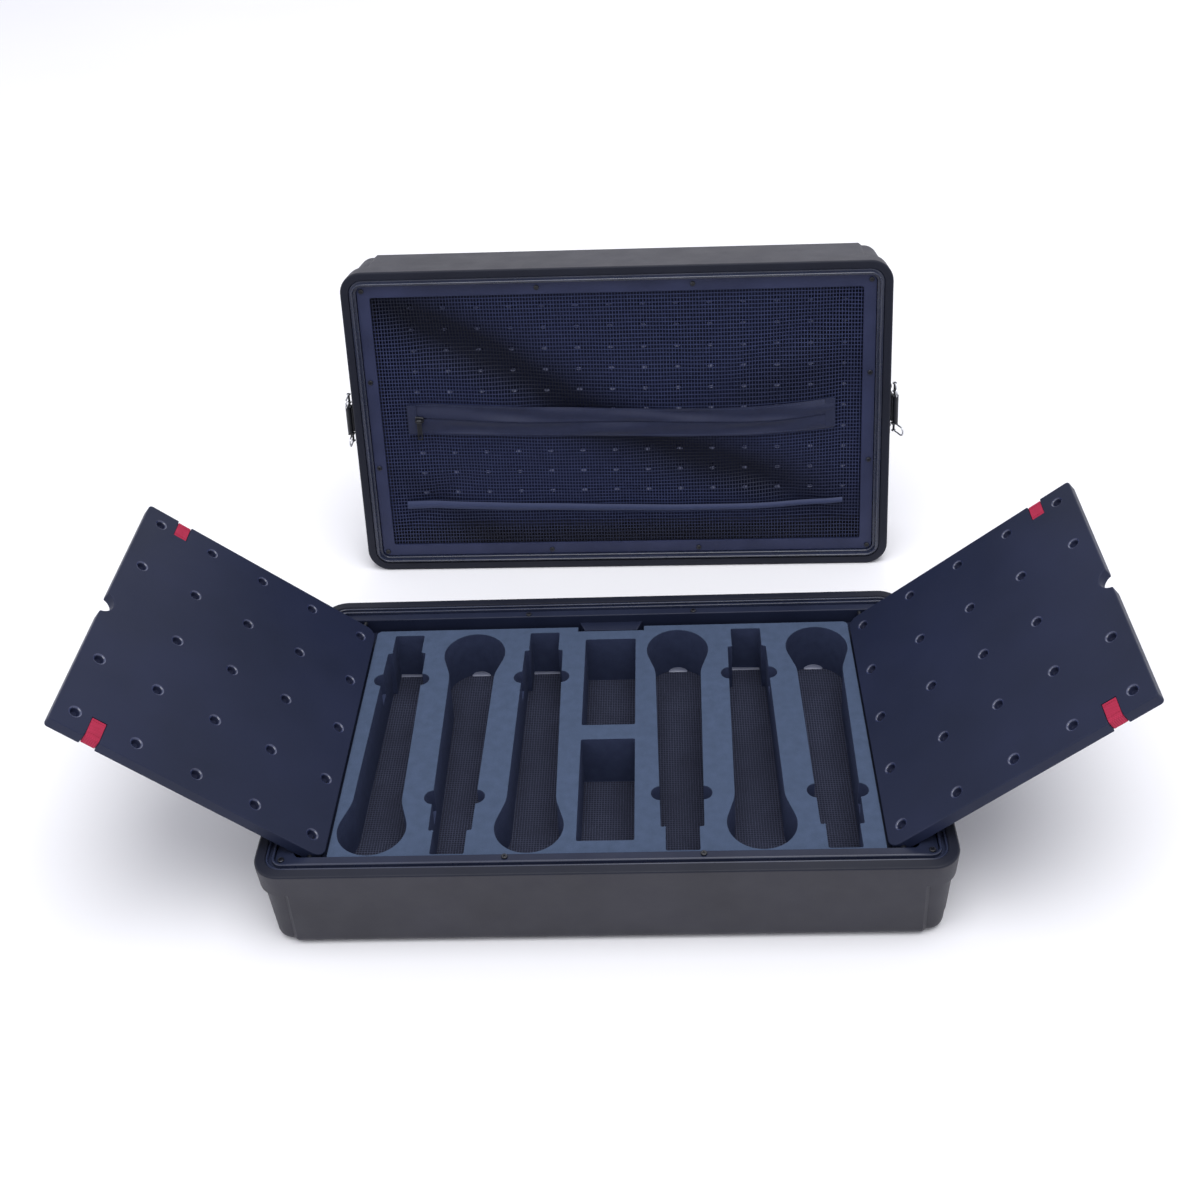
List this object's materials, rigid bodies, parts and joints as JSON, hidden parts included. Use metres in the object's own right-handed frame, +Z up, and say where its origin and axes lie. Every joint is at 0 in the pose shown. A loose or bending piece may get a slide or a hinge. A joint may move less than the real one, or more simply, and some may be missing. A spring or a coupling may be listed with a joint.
{
  "type": "microphone transit case",
  "caption": "Two-part plastic transit case: tray with cut foam for handheld microphones and hinged covers, loose lid with zipped net pocket and end latches.",
  "frame": {"origin": "centre of the flat underside of the base tray, on the surface that the case stands on", "axes": "+X along the case's long side, +Y away from the viewer towards the loose lid, +Z up"},
  "size_m": [0.8656, 0.6268, 0.3522],
  "materials": {
    "shell_plastic": "finely grained moulded plastic, charcoal",
    "rim_plastic": "smooth satin plastic, near black",
    "liner_plastic": "satin thermoformed plastic, blue-black",
    "panel_plastic": "satin plastic, dark navy",
    "foam": "closed-cell foam, blue-grey",
    "pad": "black pad with a fine square grid",
    "webbing": "woven webbing, red",
    "net": "soft mesh, blue-black",
    "tape": "woven zip tape, dark navy",
    "black_steel": "black coated steel",
    "link_chrome": "bright plated wire"
  },
  "bodies": {
    "base": {"base_shell": "shell_plastic", "base_groove_ring": "rim_plastic", "tray_liner": "liner_plastic", "foam_insert": "foam", "foam_base_pad": "pad", "hinge_rod_left": "black_steel", "hinge_rod_right": "black_steel", "keeper_left": "black_steel", "keeper_right": "black_steel", "flange_screw_1": "black_steel", "flange_screw_2": "black_steel", "flange_screw_3": "black_steel", "flange_screw_4": "black_steel", "flange_screw_5": "black_steel", "flange_screw_6": "black_steel", "flange_screw_7": "black_steel", "flange_screw_8": "black_steel", "flange_screw_9": "black_steel", "flange_screw_10": "black_steel", "flange_screw_11": "black_steel", "flange_screw_12": "black_steel"},
    "cover_left": {"wing_left": "panel_plastic", "wing_tab_back_left": "webbing", "wing_tab_front_left": "webbing"},
    "cover_right": {"wing_right": "panel_plastic", "wing_tab_back_right": "webbing", "wing_tab_front_right": "webbing"},
    "lid": {"lid_shell": "shell_plastic", "lid_tongue_ring": "rim_plastic", "net_frame": "liner_plastic", "net_upper": "net", "net_lower": "net", "zip_tape_upper": "tape", "zip_tape_lower": "tape", "net_binding": "tape", "lid_liner_panel": "panel_plastic", "latch_plate_left": "black_steel", "latch_plate_right": "black_steel", "frame_screw_1": "black_steel", "frame_screw_2": "black_steel", "frame_screw_3": "black_steel", "frame_screw_4": "black_steel", "frame_screw_5": "black_steel", "frame_screw_6": "black_steel", "frame_screw_7": "black_steel", "frame_screw_8": "black_steel", "frame_screw_9": "black_steel", "frame_screw_10": "black_steel", "frame_screw_11": "black_steel", "frame_screw_12": "black_steel"},
    "slider": {"zip_slider": "black_steel"},
    "pull": {"zip_pull": "black_steel"},
    "lever_left": {"latch_lever_left": "black_steel"},
    "link_upper_left": {"latch_link_upper_left": "link_chrome"},
    "link_lower_left": {"latch_link_lower_left": "link_chrome"},
    "lever_right": {"latch_lever_right": "black_steel"},
    "link_upper_right": {"latch_link_upper_right": "link_chrome"},
    "link_lower_right": {"latch_link_lower_right": "link_chrome"}
  },
  "joints": [
    {"name": "cover_right_hinge", "type": "hinge", "parent": "base", "child": "cover_right", "pos_m": [0.241, 0, 0.0774], "axis": [0, -1, 0], "range_deg": [0, 141.7]},
    {"name": "cover_left_hinge", "type": "hinge", "parent": "base", "child": "cover_left", "pos_m": [-0.241, 0, 0.0774], "axis": [0, 1, 0], "range_deg": [0, 141.7]},
    {"name": "lid_set_down", "type": "slide", "parent": "base", "child": "lid", "axis": [0, 1, 0], "range_m": [-0.1, 0.3]},
    {"name": "lever_left_hinge", "type": "hinge", "parent": "lid", "child": "lever_left", "pos_m": [-0.28017, 0.36453, 0.18216], "axis": [0.0015, 0.0924, 0.9957], "range_deg": [0, 170]},
    {"name": "link_upper_left_hinge", "type": "hinge", "parent": "lever_left", "child": "link_upper_left", "pos_m": [-0.27952, 0.37046, 0.18161], "axis": [-0.0015, -0.0924, -0.9957], "range_deg": [-5, 175]},
    {"name": "link_lower_left_hinge", "type": "hinge", "parent": "lever_left", "child": "link_lower_left", "pos_m": [-0.27952, 0.37046, 0.18161], "axis": [-0.0015, -0.0924, -0.9957], "range_deg": [-5, 175]},
    {"name": "lever_right_hinge", "type": "hinge", "parent": "lid", "child": "lever_right", "pos_m": [0.30089, 0.3554, 0.18216], "axis": [-0.0015, -0.0924, -0.9957], "range_deg": [0, 170]},
    {"name": "link_upper_right_hinge", "type": "hinge", "parent": "lever_right", "child": "link_upper_right", "pos_m": [0.30043, 0.36135, 0.18161], "axis": [0.0015, 0.0924, 0.9957], "range_deg": [-5, 175]},
    {"name": "link_lower_right_hinge", "type": "hinge", "parent": "lever_right", "child": "link_lower_right", "pos_m": [0.30043, 0.36135, 0.18161], "axis": [0.0015, 0.0924, 0.9957], "range_deg": [-5, 175]},
    {"name": "zip_slider_slide", "type": "slide", "parent": "lid", "child": "slider", "axis": [0.9999, -0.0157, 0], "range_m": [0, 0.427]},
    {"name": "zip_pull_hinge", "type": "hinge", "parent": "slider", "child": "pull", "pos_m": [-0.20375, 0.35477, 0.18345], "axis": [-0.9999, 0.0157, 0], "range_deg": [0, 170]}
  ],
  "couplings": [
    {"joint": "link_upper_left_hinge", "follows": "lever_left_hinge", "ratio": 1},
    {"joint": "link_lower_left_hinge", "follows": "lever_left_hinge", "ratio": 1},
    {"joint": "link_upper_right_hinge", "follows": "lever_right_hinge", "ratio": 1},
    {"joint": "link_lower_right_hinge", "follows": "lever_right_hinge", "ratio": 1}
  ]
}
